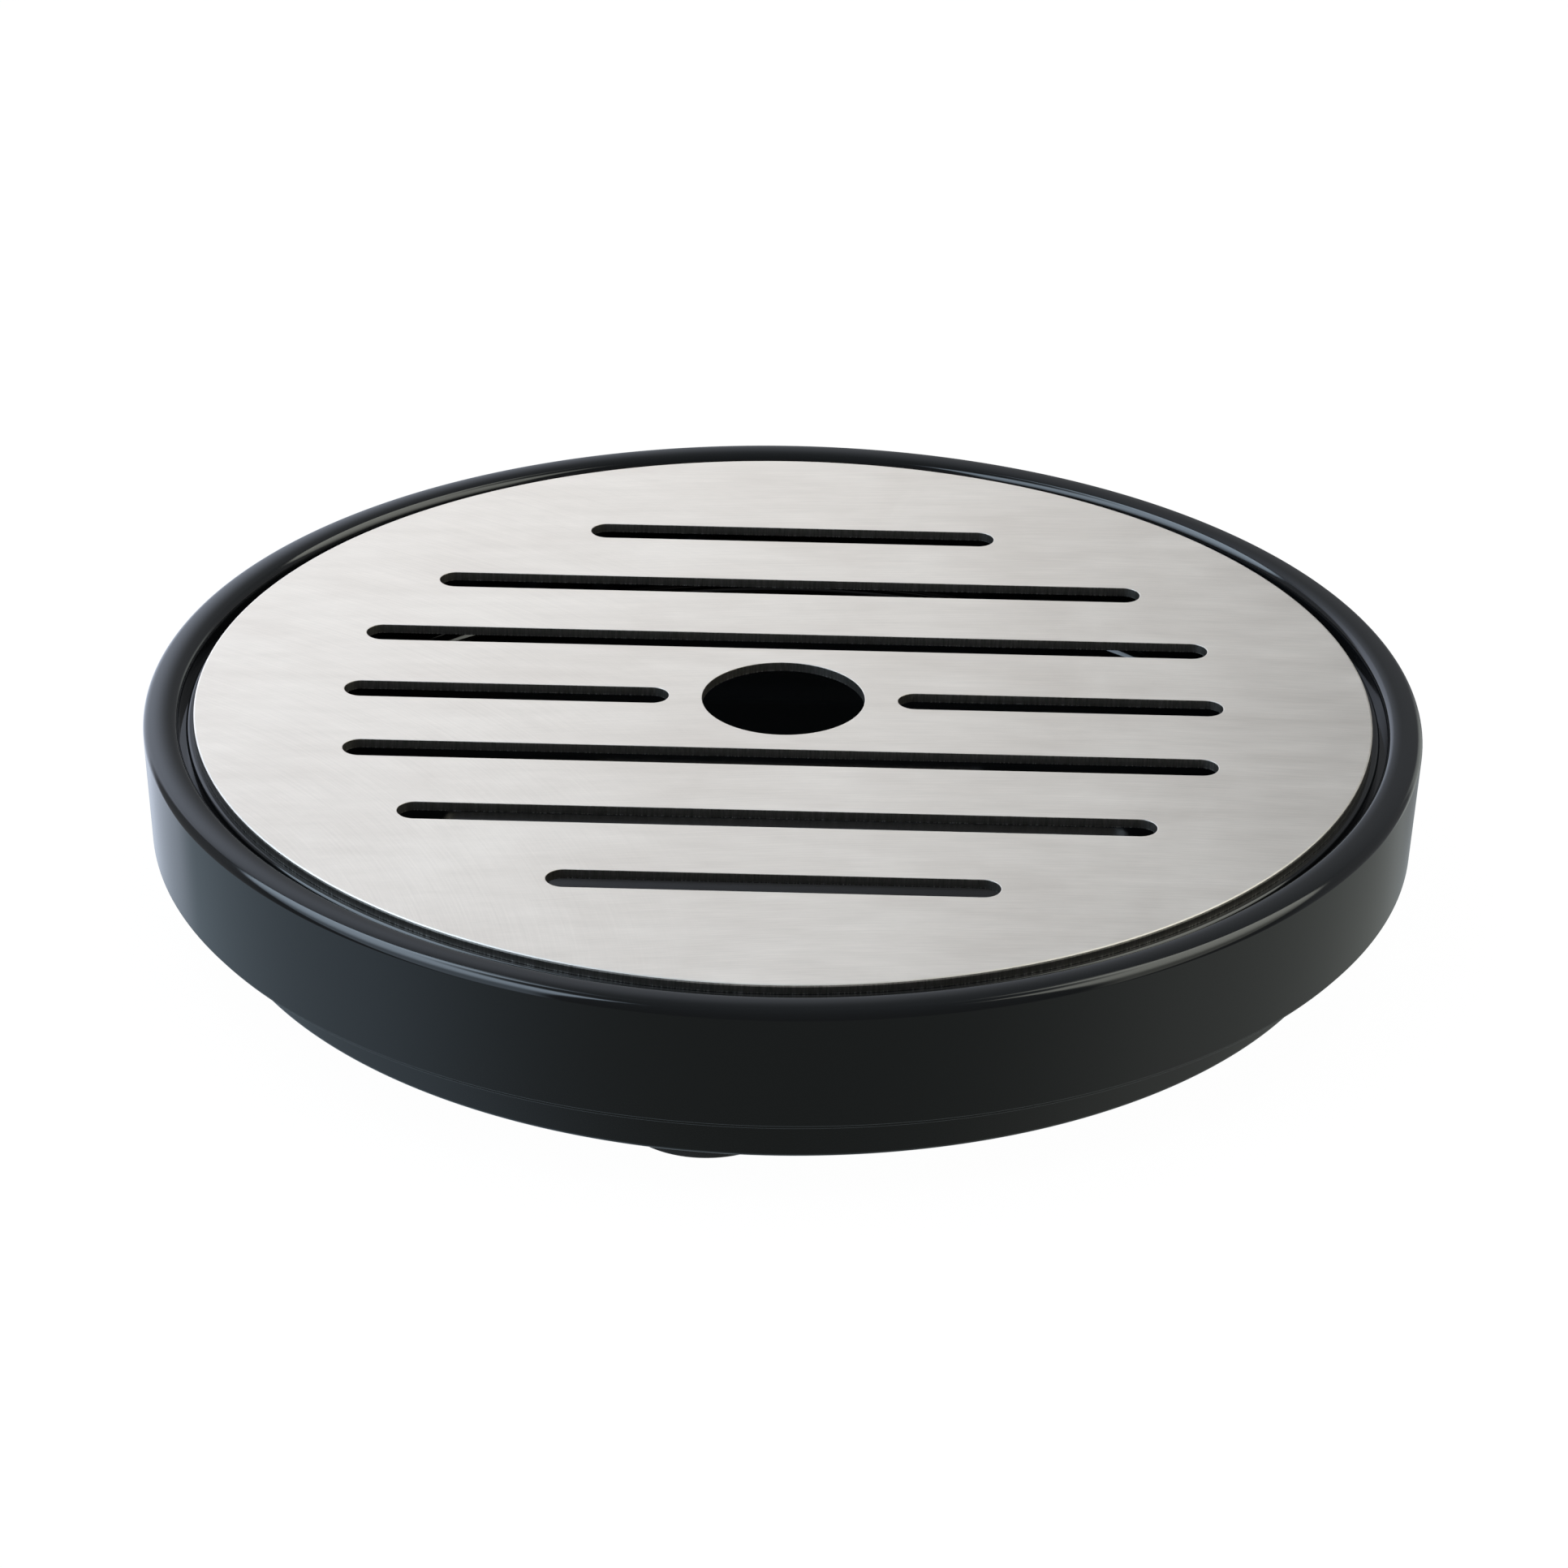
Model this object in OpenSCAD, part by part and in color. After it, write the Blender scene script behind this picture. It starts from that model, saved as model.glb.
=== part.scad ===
// Round countertop drip tray: a slotted steel plate lies in a black moulded body.
// Z is up, the origin is the centre of the surface that the feet stand on, and the slots run along X.
// All sizes are in millimetres.

/* [Overall] */
// Outer diameter of the housing at its rim
body_d = 157.3; // [130:0.1:200]
// Height of the rim above the surface that the tray stands on
body_h = 24.85; // [20.5:0.05:40]

/* [Housing] */
// Height of the outer wall, from its lower edge to the rim
skirt_h = 15.05; // [12.5:0.05:18]
// Draft angle of the outer wall
skirt_draft = 2.85; // [0:0.05:4]
// Wall thickness of the housing
shell_t = 2.4; // [2:0.1:3]
// Width of the rim, seen from above
rim_w = 4.35; // [3.6:0.05:6]
// Radius of the rim's outer edge
rim_outer_r = 1.06; // [0.3:0.02:1.6]
// Radius of the rim's inner edge
rim_inner_r = 1; // [0.3:0.05:1.5]
// Width of the ledge that the bowl's flange lies on
ledge_w = 2.4; // [1.5:0.1:4]
// Thickness of that ledge
ledge_t = 2; // [1.2:0.1:2.5]
// Turn of the housing, base and feet about Z, against the direction of the slots
body_turn = -7; // [-45:1:45]

/* [Base pan] */
// Step from the wall's lower edge in to the base
base_inset = 6.4; // [5:0.1:8]
// Draft angle of the base's wall
base_draft = 4.7; // [0:0.1:8]
// Wall thickness of the base
base_t = 2; // [1.5:0.1:2.5]
// Thickness of the base's floor
base_floor_t = 1.8; // [1.5:0.1:3]
// Radius of the base's bottom edge
base_edge_r = 0.6; // [0.3:0.1:1.4]
// Thickness of the flange inside the housing
flange_t = 2; // [1.5:0.1:2.5]
// Visible thickness of the lip under the wall's lower edge
lip_t = 0.5; // [0.3:0.05:0.9]
// Setback of the lip from the outside of the wall
lip_setback = 0.4; // [0.2:0.05:0.8]

/* [Drip bowl] */
// Depth of the plate's seat below the rim
seat_depth = 1.05; // [0.5:0.05:2]
// Thickness of the bowl's flange
bowl_flange_t = 1.6; // [1:0.1:2.5]
// Radius of the flange's outer edge
bowl_flange_r = 0.5; // [0.2:0.1:0.8]
// Wall thickness of the bowl
bowl_t = 1.6; // [1:0.1:2.5]
// Thickness of the bowl's floor
bowl_floor_t = 1.5; // [1:0.1:2.5]
// Radius between the bowl's floor and wall, inside
bowl_fillet_r = 4; // [1:0.5:6]

/* [Grille plate] */
// Thickness of the plate
plate_t = 1.2; // [0.8:0.1:2]
// Bevel around the plate's top edge
plate_bevel = 0.25; // [0.1:0.05:0.4]
// Width of a slot
slot_w = 4.3; // [2:0.1:6]
// Distance from one row of slots to the next
slot_pitch = 16.13; // [10:0.01:24]
// Width of the plain border outside the ends of the slots
slot_border = 17.15; // [10:0.05:25]
// Further shortening of the two middle slots at their outer ends
mid_slot_trim = 1.1; // [0:0.1:5]
// Further shortening of the first and last rows at both ends
end_slot_trim = 0.5; // [0:0.1:3]
// Metal between the finger hole and the two middle slots
mid_slot_web = 4.1; // [2:0.1:10]
// Diameter of the finger hole
finger_d = 20.1; // [16:0.1:30]

/* [Feet] */
// Diameter of a foot
foot_d = 20; // [12:0.5:24]
// Height of the base above the surface that the tray stands on
foot_h = 1.6; // [1:0.1:6]
// Distance from a foot to the outside of the base
foot_margin = 1.4; // [0.8:0.1:10]
// Depth of the recess that holds a foot
foot_recess = 0.6; // [0.3:0.1:1]
// Radius of a foot's bottom edge
foot_edge_r = 0.4; // [0.2:0.1:0.9]
// Diameter of the stem that plugs a foot into the floor
stem_d = 6; // [4:0.5:8]
// Width of the stem's head beyond the stem
stem_barb = 0.8; // [0.4:0.1:1.2]

/* [Screws] */
// Number of screws between the base and the housing
screw_count = 4; // [3:1:8]
// Outer diameter of a screw's thread
screw_d = 2.2; // [2:0.1:2.6]
// Length of a screw, with its head
screw_l = 8; // [6:0.5:9]
// Diameter of a screw's countersunk head
screw_head_d = 3.8; // [3.2:0.1:4.2]
// Wall of the boss around a screw
boss_wall = 1.4; // [1:0.1:2]

/* [Clearances] */
// Radial gap between the grille plate and the rim
plate_gap = 1.8; // [0.5:0.05:3]
// Radial gap between the bowl's flange and the rim
bowl_flange_gap = 0.9; // [0.4:0.05:1.5]
// Gap between the bowl's wall and the ledge around it
bowl_gap = 0.6; // [0.4:0.05:1.5]
// Gap between the bowl's wall and the base's wall
bowl_base_gap = 1; // [0.4:0.05:2]
// Gap between the bowl's floor and the base's floor
bowl_floor_gap = 2.1; // [1.2:0.05:5]
// Gap between the base's flange and the inside of the housing
flange_gap = 0.3; // [0.1:0.05:0.5]
// Gap around a foot in its recess
foot_gap = 0.25; // [0.1:0.05:0.5]
// Gap between a screw's head and the base's wall
driver_gap = 0.15; // [0.1:0.05:0.5]
// Gap around a stem, a screw's thread or its head
fit_gap = 0.05; // [0.02:0.01:0.1]

/* [Hidden] */
$fn = 96;
foot_count = 4;
cut = 1; // how far a cutting shape runs past the face it opens

// Heights
rim_z = body_h;
seat_z = rim_z - seat_depth;
ledge_z = seat_z - bowl_flange_t;
skirt_z = rim_z - skirt_h;
lip_z = skirt_z - lip_t;
flange_z = lip_z + flange_t;
base_z = foot_h;
floor_z = base_z + base_floor_t;
bowl_z = floor_z + bowl_floor_gap;
bowl_floor_z = bowl_z + bowl_floor_t;

// Radii of the housing
rim_r = body_d / 2;
rim_in_r = rim_r - rim_w;
function skirt_r(z) = rim_r - (rim_z - z) * tan(skirt_draft);
function skirt_in_r(z) = skirt_r(z) - shell_t;

// Radii of the bowl and the ledge under its flange
bowl_rim_r = rim_in_r - bowl_flange_gap;
ledge_r = bowl_rim_r - ledge_w;

// Radii of the base
flange_r = skirt_in_r(skirt_z) - flange_gap;
lip_r = skirt_r(skirt_z) - lip_setback;
base_top_r = skirt_r(skirt_z) - base_inset;
base_r = base_top_r - (lip_z - base_z) * tan(base_draft);
base_in_top_r = base_top_r - base_t;
base_in_r = base_r - base_t;

// The bowl's wall runs from the ledge, past the base's flange, to its floor
bowl_top_r = ledge_r - bowl_gap;
bowl_low_r = min(bowl_top_r, base_in_top_r - bowl_base_gap);
bowl_draft = atan((bowl_top_r - bowl_low_r) / (ledge_z - flange_z));
function bowl_r(z) = bowl_top_r - (ledge_z - z) * tan(bowl_draft);
function bowl_in_r(z) = bowl_r(z) - bowl_t;

// Plate and slots
plate_r = rim_in_r - plate_gap;
plate_z = seat_z + plate_t;
slot_field_r = plate_r - slot_border;
slot_min_half = 1.5 * slot_w;
slot_rows = floor(sqrt(pow(slot_field_r, 2) - pow(slot_min_half, 2)) / slot_pitch);
mid_slot_in = finger_d / 2 + mid_slot_web;
mid_slot_out = slot_field_r - mid_slot_trim;

// Feet and screws
foot_r = foot_d / 2;
foot_ring_r = base_r - foot_margin - foot_r;
stem_head_h = bowl_floor_gap - 0.5;
screw_hole_r = screw_d / 2 + fit_gap;
screw_ring_r = base_top_r + driver_gap + screw_head_d / 2;
screw_turn = body_turn + 180 / foot_count;
screw_head_h = (screw_head_d - screw_d) / 2;
boss_r = screw_hole_r + boss_wall;

function unit(angle) = [cos(angle), sin(angle)];

// What rounding a corner to radius r takes away. The corner's edges leave it in the directions
// a and b, with b up to 180 degrees past a, and the piece reaches past the corner to leave no skin.
module corner_piece(corner, a, b, r) {
    half = (b - a) / 2;
    middle = unit((a + b) / 2);
    centre = corner + middle * r / sin(half);
    difference() {
        polygon([
            centre,
            corner + unit(a) * r / tan(half),
            corner - middle * cut,
            corner + unit(b) * r / tan(half)
        ]);
        translate(centre)
            circle(r);
    }
}

// Places its children at equal angles on a circle about Z, from the angle start
module ring_of(count, radius, start) {
    for (i = [0 : count - 1])
        rotate([0, 0, start + i * 360 / count])
            translate([0, -radius, 0])
                children();
}

// Housing: rim, drafted outer wall, ledge for the bowl and the screw bosses
module housing_profile() {
    difference() {
        polygon([
            [skirt_in_r(skirt_z), skirt_z],
            [skirt_r(skirt_z), skirt_z],
            [rim_r, rim_z],
            [rim_in_r, rim_z],
            [rim_in_r, ledge_z],
            [ledge_r, ledge_z],
            [ledge_r, ledge_z - ledge_t],
            [skirt_in_r(ledge_z - ledge_t), ledge_z - ledge_t]
        ]);
        corner_piece([rim_r, rim_z], 180, 270 - skirt_draft, rim_outer_r);
        corner_piece([rim_in_r, rim_z], 270, 360, rim_inner_r);
    }
}

module screw_boss() {
    translate([0, 0, flange_z])
        cylinder(r = boss_r, h = ledge_z - ledge_t / 2 - flange_z);
    // the web joins the boss to the outer wall
    web_w = skirt_in_r(skirt_z) - screw_ring_r + shell_t / 2;
    translate([-boss_r / 2, -web_w, flange_z])
        cube([boss_r, web_w, ledge_z - ledge_t / 2 - flange_z]);
}

module housing() {
    color("#1d1e20")
        difference() {
            union() {
                rotate_extrude()
                    housing_profile();
                difference() {
                    ring_of(screw_count, screw_ring_r, screw_turn)
                        screw_boss();
                    cylinder(r = ledge_r, h = rim_z);
                }
            }
            ring_of(screw_count, screw_ring_r, screw_turn)
                translate([0, 0, flange_z - cut])
                    cylinder(r = screw_hole_r, h = screw_l - flange_t + 2 * cut);
        }
}

// Base pan: floor, stepped-in wall and the flange that plugs into the housing
module base_profile() {
    difference() {
        polygon([
            [0, base_z],
            [base_r, base_z],
            [base_top_r, lip_z],
            [lip_r, lip_z],
            [lip_r, skirt_z],
            [flange_r, skirt_z],
            [flange_r, flange_z],
            [base_in_top_r, flange_z],
            [base_in_r, floor_z],
            [0, floor_z]
        ]);
        corner_piece([base_r, base_z], 90 - base_draft, 180, base_edge_r);
    }
}

// What one screw takes out of the base: its hole and its countersink
module screw_cut() {
    rotate_extrude()
        polygon([
            [0, lip_z - cut],
            [screw_head_d / 2 + fit_gap, lip_z - cut],
            [screw_head_d / 2 + fit_gap, lip_z],
            [screw_hole_r, lip_z + screw_head_h],
            [screw_hole_r, flange_z + cut],
            [0, flange_z + cut]
        ]);
}

module base_pan() {
    color("#1a1b1c")
        difference() {
            rotate_extrude()
                base_profile();
            ring_of(foot_count, foot_ring_r, body_turn) {
                translate([0, 0, base_z - cut])
                    cylinder(r = foot_r + foot_gap, h = foot_recess + cut);
                translate([0, 0, base_z])
                    cylinder(r = stem_d / 2 + fit_gap, h = base_floor_t + cut);
            }
            ring_of(screw_count, screw_ring_r, screw_turn)
                screw_cut();
        }
}

// Drip bowl: a tapered vessel that hangs in the ledge by its flange and lifts out
module bowl_inside() {
    difference() {
        polygon([
            [0, bowl_floor_z],
            [bowl_in_r(bowl_floor_z), bowl_floor_z],
            [bowl_in_r(seat_z + cut), seat_z + cut],
            [0, seat_z + cut]
        ]);
        corner_piece([bowl_in_r(bowl_floor_z), bowl_floor_z], 90 - bowl_draft, 180, bowl_fillet_r);
    }
}

module bowl_profile() {
    difference() {
        polygon([
            [0, bowl_z],
            [bowl_r(bowl_z), bowl_z],
            [bowl_top_r, ledge_z],
            [bowl_rim_r, ledge_z],
            [bowl_rim_r, seat_z],
            [0, seat_z]
        ]);
        bowl_inside();
        corner_piece([bowl_r(bowl_z), bowl_z], 90 - bowl_draft, 180, bowl_fillet_r + bowl_floor_t);
        corner_piece([bowl_rim_r, seat_z], 180, 270, bowl_flange_r);
    }
}

module drip_bowl() {
    color("#222326")
        rotate_extrude()
            bowl_profile();
}

// Grille plate: a flat disc with rows of slots that end on one circle
module slot_cut(x0, x1, y) {
    for (x = [x0 + slot_w / 2, x1 - slot_w / 2])
        translate([x, y, seat_z - cut])
            cylinder(d = slot_w, h = plate_t + 2 * cut);
    translate([x0 + slot_w / 2, y - slot_w / 2, seat_z - cut])
        cube([x1 - x0 - slot_w, slot_w, plate_t + 2 * cut]);
}

module plate_blank() {
    rotate_extrude()
        polygon([
            [0, seat_z],
            [plate_r, seat_z],
            [plate_r, plate_z - plate_bevel],
            [plate_r - plate_bevel, plate_z],
            [0, plate_z]
        ]);
}

module grille_plate() {
    color("#c9c7c4")
        difference() {
            plate_blank();
            translate([0, 0, seat_z - cut])
                cylinder(d = finger_d, h = plate_t + 2 * cut);
            for (side = [-1, 1])
                slot_cut(min(side * mid_slot_in, side * mid_slot_out),
                         max(side * mid_slot_in, side * mid_slot_out), 0);
            for (row = [1 : slot_rows], side = [-1, 1]) {
                y = side * row * slot_pitch;
                trim = row == slot_rows ? end_slot_trim : 0;
                half = sqrt(pow(slot_field_r, 2) - pow(y, 2)) - trim;
                slot_cut(-half, half, y);
            }
        }
}

// Screws: countersunk heads flush with the underside of the lip, points up
module base_screw() {
    point_h = screw_d / 2;
    driver_w = screw_d / 4;
    driver_l = screw_head_d * 0.6;
    translate([0, 0, lip_z])
        difference() {
            union() {
                cylinder(d1 = screw_head_d, d2 = screw_d, h = screw_head_h);
                cylinder(d = screw_d, h = screw_l - point_h);
                translate([0, 0, screw_l - point_h])
                    cylinder(d1 = screw_d, d2 = screw_d / 4, h = point_h);
            }
            for (turn = [0, 90])
                rotate([0, 0, turn])
                    translate([-driver_l / 2, -driver_w / 2, -cut])
                        cube([driver_l, driver_w, cut + screw_head_h]);
        }
}

module base_screws() {
    color("#8d9094")
        ring_of(screw_count, screw_ring_r, screw_turn)
            base_screw();
}

// Feet: soft discs, each plugged into the floor by a stem with a wider head
module foot_profile() {
    difference() {
        square([foot_r, base_z + foot_recess]);
        corner_piece([foot_r, 0], 90, 180, foot_edge_r);
    }
    square([stem_d / 2, floor_z + stem_head_h]);
    translate([0, floor_z])
        polygon([
            [0, 0],
            [stem_d / 2 + stem_barb, 0],
            [stem_d / 2, stem_head_h],
            [0, stem_head_h]
        ]);
}

module foot(place) {
    color("#141414")
        rotate([0, 0, body_turn + place * 360 / foot_count])
            translate([0, -foot_ring_r, 0])
                rotate_extrude()
                    foot_profile();
}

housing();
base_pan();
drip_bowl();
grille_plate();
base_screws();
foot(0);  // foot_front
foot(1);  // foot_right
foot(2);  // foot_back
foot(3);  // foot_left
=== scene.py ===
import math

import bmesh
import bpy
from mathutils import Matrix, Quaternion, Vector


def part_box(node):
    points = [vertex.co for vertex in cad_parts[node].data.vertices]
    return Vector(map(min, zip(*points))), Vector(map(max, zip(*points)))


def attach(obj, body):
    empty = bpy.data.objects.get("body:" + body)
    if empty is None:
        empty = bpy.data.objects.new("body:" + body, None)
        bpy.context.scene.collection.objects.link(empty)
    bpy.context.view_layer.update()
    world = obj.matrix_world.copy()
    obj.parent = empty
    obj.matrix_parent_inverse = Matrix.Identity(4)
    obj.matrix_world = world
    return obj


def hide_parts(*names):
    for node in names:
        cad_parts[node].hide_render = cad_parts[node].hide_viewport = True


# Round countertop drip tray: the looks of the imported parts, in metres, in the frame of the part.
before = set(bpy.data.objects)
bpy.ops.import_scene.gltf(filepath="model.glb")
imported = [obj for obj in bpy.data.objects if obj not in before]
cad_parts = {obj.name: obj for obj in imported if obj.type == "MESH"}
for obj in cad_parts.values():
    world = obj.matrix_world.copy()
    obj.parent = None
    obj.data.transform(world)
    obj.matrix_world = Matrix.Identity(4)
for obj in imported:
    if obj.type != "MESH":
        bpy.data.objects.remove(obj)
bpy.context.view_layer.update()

MM = 0.001
BOWL_FLANGE_T = 1.6 * MM

# Heights that the pieces share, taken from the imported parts
SEAT_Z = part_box("grille_plate")[0].z
PLATE_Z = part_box("grille_plate")[1].z
RIM_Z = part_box("housing")[1].z
SKIRT_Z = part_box("housing")[0].z
LEDGE_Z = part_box("drip_bowl")[1].z - BOWL_FLANGE_T
BOWL_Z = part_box("drip_bowl")[0].z
LIP_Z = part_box("base_screws")[0].z
FLANGE_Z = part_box("base_pan")[1].z
BASE_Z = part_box("base_pan")[0].z

# Housing
RIM_R = 78.65 * MM
RIM_IN_R = 74.3 * MM
RIM_OUTER_EDGE = 1.06 * MM
RIM_INNER_EDGE = 1.0 * MM
RIM_CROWN = math.radians(12.5)
SKIRT_DRAFT = math.radians(2.85)
SHELL_T = 2.4 * MM
SKIRT_EDGE = 0.15 * MM
LEDGE_R = 71.0 * MM
LEDGE_T = 2.0 * MM
BODY_TURN = math.radians(-7)  # the body stands with a foot a little to the left of the front

# Drip bowl
BOWL_RIM_R = 73.4 * MM
BOWL_TOP_R = 70.4 * MM
BOWL_LOW_R = 68.5 * MM
BOWL_T = 1.6 * MM
BOWL_FLOOR_T = 1.5 * MM
BOWL_FILLET = 4.0 * MM
BOWL_FLANGE_EDGE = 0.5 * MM
BOWL_SEAT_EDGE = 0.3 * MM

# Grille plate
PLATE_R = 72.5 * MM
PLATE_BEVEL = 0.25 * MM
CUT_EDGE = 0.07 * MM
SLOT_W = 4.3 * MM
SLOT_PITCH = 16.13 * MM
SLOT_ROWS = 3
SLOT_FIELD_R = 55.35 * MM
LAST_ROW_TRIM = 0.5 * MM
MID_SLOT_IN = 14.15 * MM
MID_SLOT_OUT = 54.25 * MM
FINGER_R = 10.05 * MM

# Base pan
LIP_R = 77.5 * MM
LIP_EDGE = 0.12 * MM
FLANGE_R = 75.2 * MM
BASE_R = 71.5 * MM
BASE_DRAFT = math.radians(4.7)
BASE_EDGE = 0.6 * MM
BASE_T = 2.0 * MM
BASE_FLOOR_T = 1.8 * MM

# How finely round pieces are turned, and where a flat floor gets a ring between middle and wall
TURN_SEGMENTS = 288
SMALL_TURN_SEGMENTS = 48
TURNED_SHARP = math.radians(40)
PLATE_SHARP = math.radians(20)
BASE_MIDDLE_R = 20 * MM
BOWL_MIDDLE_R = 30 * MM

# What the base pan is cut for, in rings of four: feet with their stems, and screws
RING_COUNT = 4
FOOT_RING_R = 59.467 * MM
FOOT_RECESS = 0.6 * MM
FOOT_HOLE_R = 10.25 * MM
STEM_HOLE_R = 3.05 * MM
SCREW_RING_R = 73.55 * MM
SCREW_HOLE_R = 1.15 * MM
SCREW_HEAD_R = 1.95 * MM
SCREW_HEAD_H = 0.8 * MM
SCREW_REACH = 7.0 * MM
BOSS_R = 2.55 * MM
CUT_PAST = 1.0 * MM
FOOT_TURN = BODY_TURN - math.pi / 2
SCREW_TURN = FOOT_TURN + math.pi / RING_COUNT


# ---------------------------------------------------------------- small tools

def colour(code):
    """An sRGB hex colour such as "#c8c8c8", as linear RGBA."""
    parts = [int(code[i:i + 2], 16) / 255 for i in (1, 3, 5)]
    linear = [p / 12.92 if p <= 0.04045 else ((p + 0.055) / 1.055) ** 2.4 for p in parts]
    return (*linear, 1.0)


def add(tree, kind, inputs=None, **settings):
    """Adds a node to a tree. An input takes a value, or another node's socket, which is linked."""
    made = tree.nodes.new(kind)
    for key, value in settings.items():
        setattr(made, key, value)
    for key, value in (inputs or {}).items():
        if isinstance(value, bpy.types.NodeSocket):
            tree.links.new(value, made.inputs[key])
        else:
            made.inputs[key].default_value = value
    return made


def link_object(name, mesh):
    """A new object in the scene with this mesh."""
    piece = bpy.data.objects.new(name, mesh)
    bpy.context.scene.collection.objects.link(piece)
    return piece


def arc(corner, r, start, end, steps):
    """Points of a round edge of radius r. The corner is where its two sides would meet, and start
    and end are the directions, in degrees, in which the sides leave that corner."""
    turn = (end - start + 180) % 360 - 180
    half = math.radians(turn) / 2
    middle = math.radians(start) + half
    reach = r / math.sin(abs(half))
    centre = (corner[0] + math.cos(middle) * reach, corner[1] + math.sin(middle) * reach)
    first = math.radians(start) - math.copysign(math.pi / 2, turn)
    sweep = math.copysign(math.pi, turn) - math.radians(turn)
    return [
        (centre[0] + r * math.cos(first - sweep * i / steps),
         centre[1] + r * math.sin(first - sweep * i / steps))
        for i in range(steps + 1)
    ]


def lathe(name, outline, segments=TURN_SEGMENTS):
    """A closed outline of (radius, height) turned about Z. Points on the axis close to a pole."""
    bm = bmesh.new()
    rings = []
    for r, z in outline:
        if r < 1e-7:
            rings.append([bm.verts.new((0, 0, z))] * segments)
            continue
        angles = [2 * math.pi * i / segments for i in range(segments)]
        rings.append([bm.verts.new((r * math.cos(a), r * math.sin(a), z)) for a in angles])
    for one, two in zip(rings, rings[1:] + rings[:1]):
        for i in range(segments):
            j = (i + 1) % segments
            corners = list(dict.fromkeys([one[i], one[j], two[j], two[i]]))
            if len(corners) > 2:
                bm.faces.new(corners)
    bmesh.ops.recalc_face_normals(bm, faces=bm.faces)
    mesh = bpy.data.meshes.new(name)
    bm.to_mesh(mesh)
    bm.free()
    mesh.shade_smooth()
    mesh.set_sharp_from_angle(angle=TURNED_SHARP)
    return link_object(name, mesh)


def finish_mesh(piece, weighted=True):
    """Turns a piece and its modifiers into a plain mesh, and drops the modifiers. A weighted one
    gets even shading across its flat faces."""
    if weighted:
        even = piece.modifiers.new("even_shading", "WEIGHTED_NORMAL")
        even.keep_sharp = True
        even.weight = 100
    depsgraph = bpy.context.evaluated_depsgraph_get()
    made = bpy.data.meshes.new_from_object(piece.evaluated_get(depsgraph), depsgraph=depsgraph)
    made.name = piece.name
    piece.modifiers.clear()
    piece.data = made


def new_tree(name, sizes):
    """An empty Geometry Nodes tree with named inputs for sizes, and its input and output nodes."""
    tree = bpy.data.node_groups.new(name, "GeometryNodeTree")
    tree.interface.new_socket("Geometry", in_out="OUTPUT", socket_type="NodeSocketGeometry")
    for label, value in sizes.items():
        kind = "NodeSocketInt" if isinstance(value, int) else "NodeSocketFloat"
        tree.interface.new_socket(label, in_out="INPUT", socket_type=kind)
    return tree, add(tree, "NodeGroupInput").outputs, add(tree, "NodeGroupOutput")


def run_tree(name, tree, sizes):
    """An object whose mesh the tree makes, with the tree's inputs set from sizes."""
    piece = link_object(name, bpy.data.meshes.new(name))
    nodes = piece.modifiers.new("nodes", "NODES")
    nodes.node_group = tree
    for item in tree.interface.items_tree:
        if item.in_out == "INPUT":
            nodes[item.identifier] = sizes[item.name]
    return piece


def run_ring(name, pattern, material, radius, turn):
    """Four copies of a pattern, at equal angles on a circle about Z, as one plain mesh. The
    pattern itself is removed."""
    sizes = {"Count": RING_COUNT, "Ring Radius": radius, "Turn": turn}
    tree, size, output = new_tree(name + "_ring", sizes)
    circle = add(tree, "GeometryNodeMeshCircle", {
        "Vertices": size["Count"], "Radius": size["Ring Radius"]})
    turned = add(tree, "GeometryNodeTransform", {
        "Geometry": circle.outputs["Mesh"],
        "Rotation": add(tree, "ShaderNodeCombineXYZ", {"Z": size["Turn"]}).outputs["Vector"]})
    piece = add(tree, "GeometryNodeObjectInfo", {"Object": pattern})
    placed = add(tree, "GeometryNodeInstanceOnPoints", {
        "Points": turned.outputs["Geometry"], "Instance": piece.outputs["Geometry"]})
    real = add(tree, "GeometryNodeRealizeInstances", {"Geometry": placed.outputs["Instances"]})
    painted = add(tree, "GeometryNodeSetMaterial", {
        "Geometry": real.outputs["Geometry"], "Material": material})
    tree.links.new(painted.outputs["Geometry"], output.inputs["Geometry"])
    ring = run_tree(name, tree, sizes)
    finish_mesh(ring, weighted=False)
    bpy.data.objects.remove(pattern)
    return ring


# ---------------------------------------------------------------- materials

def start_material(name, **finish):
    """A material with one Principled shader, its fixed values, and the Object coordinates."""
    made = bpy.data.materials.new(name)
    made.use_nodes = True
    tree = made.node_tree
    tree.nodes.clear()
    output = add(tree, "ShaderNodeOutputMaterial")
    shader = add(tree, "ShaderNodeBsdfPrincipled", finish)
    tree.links.new(shader.outputs["BSDF"], output.inputs["Surface"])
    return made, tree, shader, add(tree, "ShaderNodeTexCoord").outputs["Object"]


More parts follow.
